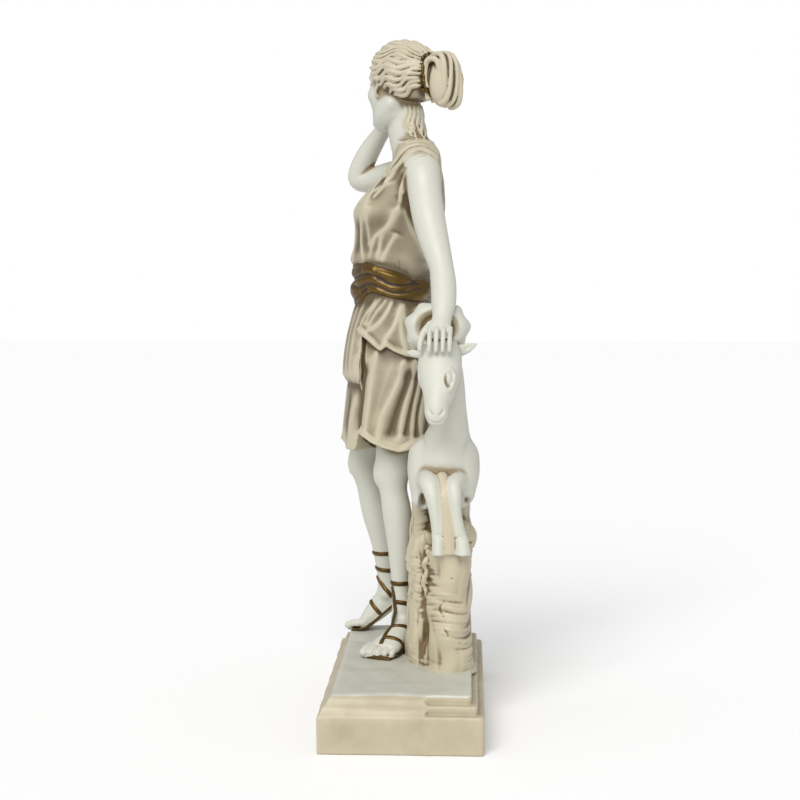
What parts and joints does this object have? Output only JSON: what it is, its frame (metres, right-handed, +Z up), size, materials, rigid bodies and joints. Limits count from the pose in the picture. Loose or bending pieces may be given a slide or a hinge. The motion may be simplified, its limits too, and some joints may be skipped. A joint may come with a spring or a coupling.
{
  "type": "classical statuette",
  "caption": "Souvenir statuette of a woman in a belted tunic walking beside a leaping deer, cast in one piece with its tree stump and stepped plinth.",
  "frame": {"origin": "centre of the plinth's underside", "axes": "+Z up, +X to the figure's left along the plinth, -Y the way the figure faces"},
  "size_m": [0.118, 0.057, 0.2518],
  "materials": {
    "cast_marble": "ivory marble-powder casting, satin, with a brown wash in the recesses and dark gold on the sash and sandals"
  },
  "bodies": {
    "root": {"statuette": "cast_marble"}
  },
  "joints": []
}
